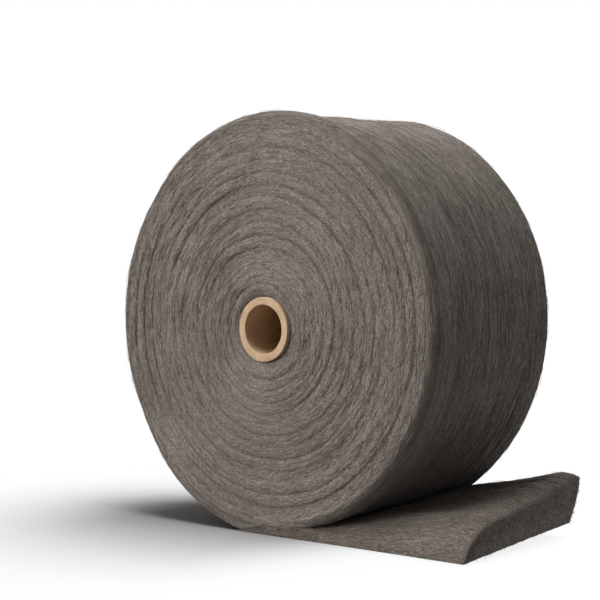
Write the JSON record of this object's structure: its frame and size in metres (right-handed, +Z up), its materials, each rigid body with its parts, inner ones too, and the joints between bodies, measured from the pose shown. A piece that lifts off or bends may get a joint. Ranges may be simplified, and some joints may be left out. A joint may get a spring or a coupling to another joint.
{
  "type": "steel wool roll",
  "caption": "Roll of steel wool ribbon wound on a plain cardboard tube, lying on its tread with the free end of the ribbon on the floor.",
  "frame": {"origin": "on the floor under the roll's flat spot, straight below the tube, at the middle of the ribbon's width", "axes": "+Z up, Y along the tube with the front of the roll at -Y, +X towards the free end of the ribbon"},
  "size_m": [0.2345, 0.098, 0.2143],
  "materials": {
    "steel_wool": "matt warm grey mat of fine steel fibres running along the ribbon",
    "core_board": "plain tan wound paperboard with a paler cut end"
  },
  "bodies": {
    "root": {"wool_roll": "steel_wool", "core_tube": "core_board"}
  },
  "joints": []
}
